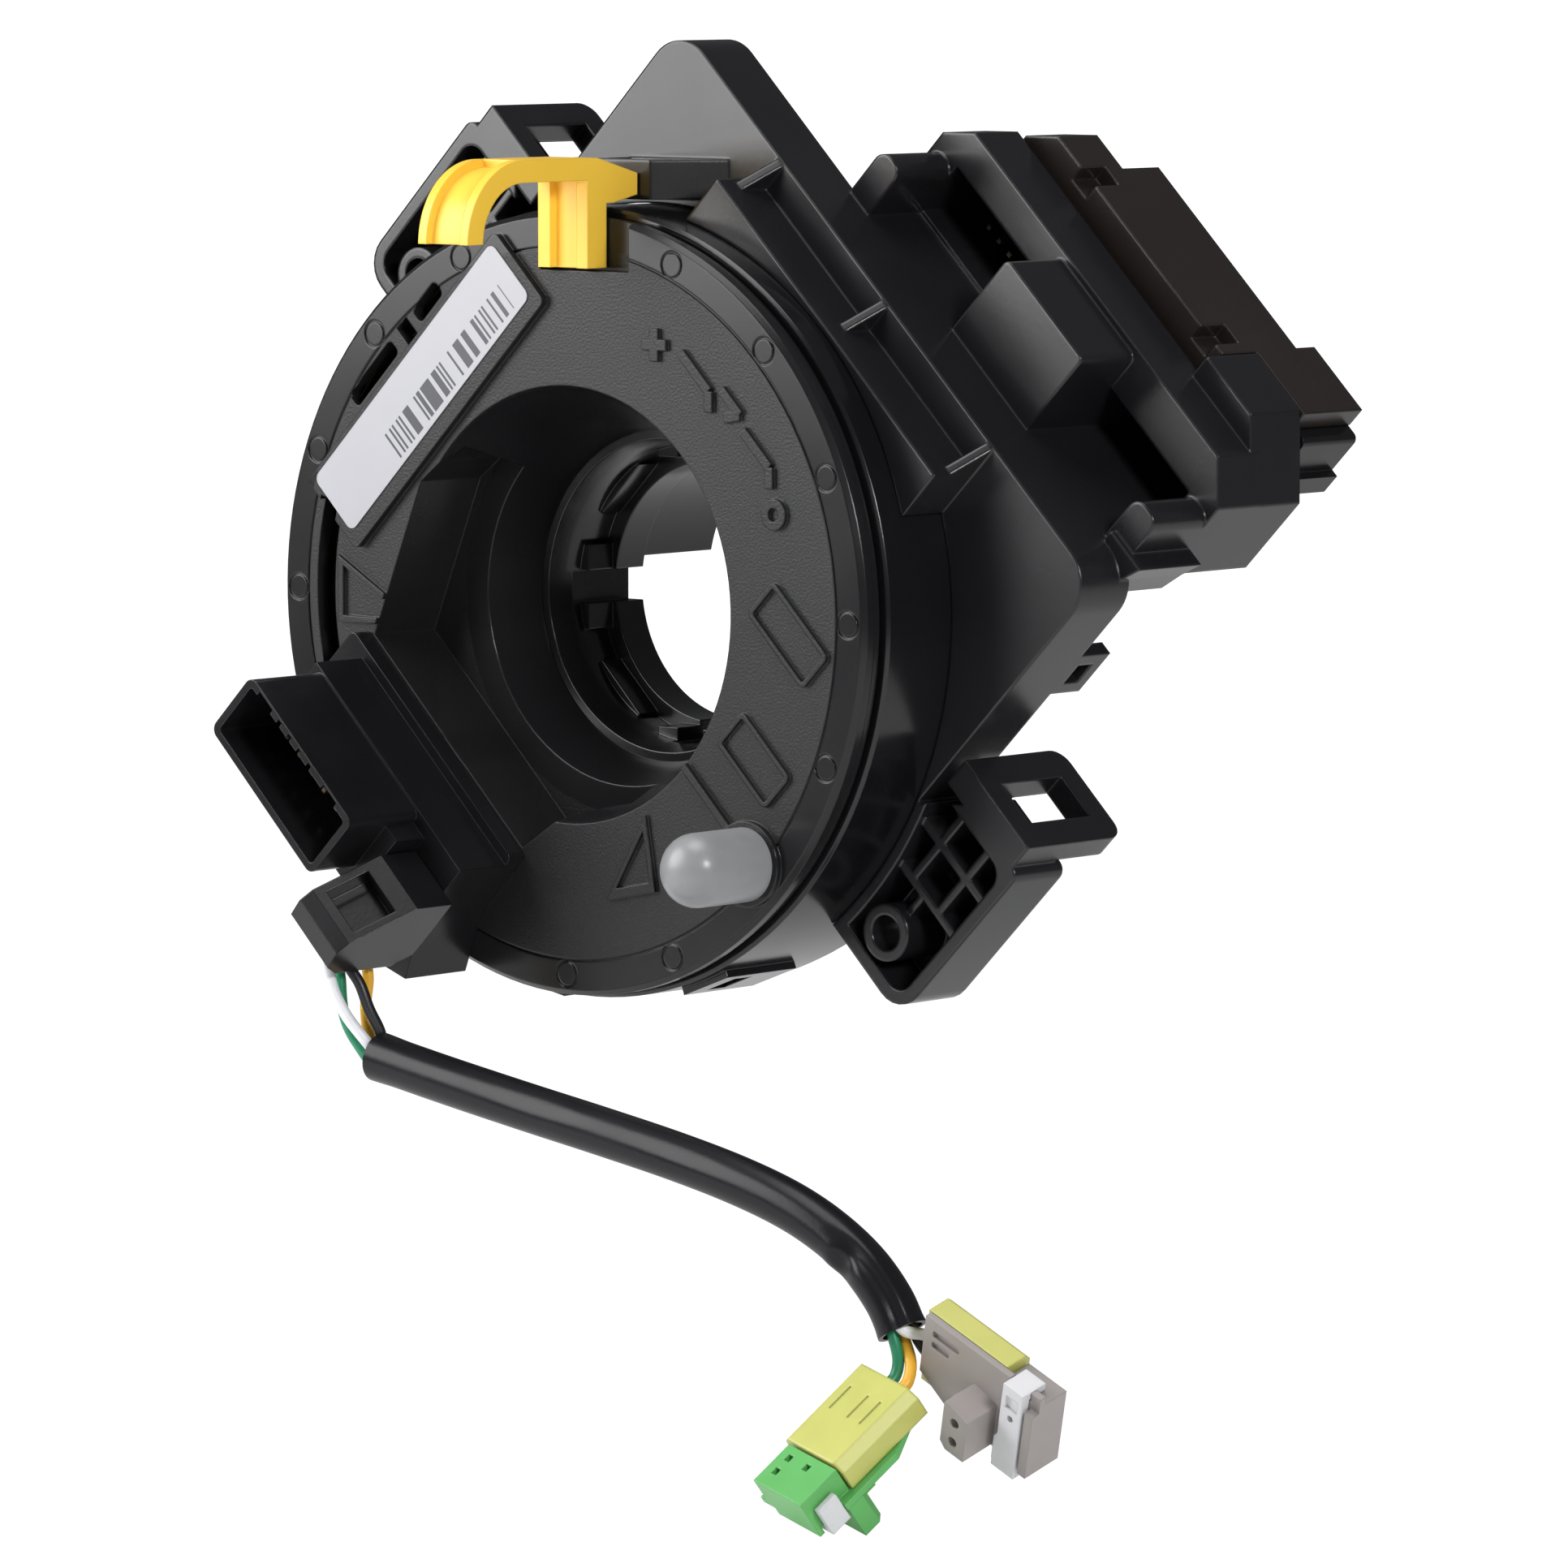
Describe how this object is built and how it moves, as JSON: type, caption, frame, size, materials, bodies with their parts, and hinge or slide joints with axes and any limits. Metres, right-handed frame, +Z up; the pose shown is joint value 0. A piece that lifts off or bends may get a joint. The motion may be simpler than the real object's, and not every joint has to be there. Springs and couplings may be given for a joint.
{
  "type": "steering clock spring",
  "caption": "Steering clock spring: round rotor with a central bore, lock hook, connector and wired plugs, turning in an eared frame with a connector block.",
  "frame": {"origin": "on the column axis, in the plane of the two ears' front faces", "axes": "+Y along the column axis, away from the driver; the rotor's face looks along -Y; +Z up as pictured, the frame's rails at 45 degrees to it"},
  "size_m": [0.1557, 0.1086, 0.1893],
  "materials": {
    "black_plastic": "fine satin moulding",
    "black_housing": "satin moulding",
    "contact_metal": "satin",
    "label_film": "satin",
    "clear_rubber": "soft translucent",
    "yellow_plastic": "satin",
    "ribbon_film": "satin",
    "sleeve_vinyl": "glossy vinyl",
    "white_insulation": "satin",
    "green_insulation": "satin",
    "black_insulation": "satin",
    "yellow_insulation": "satin",
    "green_plastic": "satin",
    "grey_plastic": "satin",
    "pale_yellow_plastic": "satin",
    "white_plastic": "satin"
  },
  "bodies": {
    "stator": {"cable_case": "black_housing", "flat_cable": "ribbon_film", "case_rear_cover": "black_plastic", "switch_body": "black_plastic", "block_cover": "black_plastic", "rear_connector": "black_housing", "rear_pins": "contact_metal", "switch_pins": "contact_metal"},
    "rotor": {"rotor_disc": "black_plastic", "rotor_sleeve": "black_housing", "connector_housing": "black_housing", "connector_pins": "contact_metal", "wire_guide": "black_housing", "label": "label_film", "locating_cap": "clear_rubber", "lead_sleeve": "sleeve_vinyl", "wire_white": "white_insulation", "wire_green": "green_insulation", "wire_black": "black_insulation", "wire_yellow": "yellow_insulation", "squib_plug_a": "green_plastic", "squib_cover_a": "pale_yellow_plastic", "squib_plug_b": "grey_plastic", "squib_cover_b": "pale_yellow_plastic"},
    "lock": {"shipping_lock": "yellow_plastic"},
    "squib_lock_a": {"squib_lock_a": "white_plastic"},
    "squib_lock_b": {"squib_lock_b": "white_plastic"}
  },
  "joints": [
    {"name": "rotor_turn", "type": "hinge", "parent": "stator", "child": "rotor", "pos_m": [0, 0, 0], "axis": [0, 1, 0], "range_deg": [-900, 900]},
    {"name": "lock_out", "type": "slide", "parent": "rotor", "child": "lock", "axis": [0, -1, 0], "range_m": [0, 0.03]},
    {"name": "squib_lock_a_out", "type": "slide", "parent": "rotor", "child": "squib_lock_a", "axis": [-0.0047, 0.6629, -0.7487], "range_m": [0, 0.0015]},
    {"name": "squib_lock_b_out", "type": "slide", "parent": "rotor", "child": "squib_lock_b", "axis": [-0.1318, -0.9324, -0.3367], "range_m": [0, 0.0015]}
  ]
}
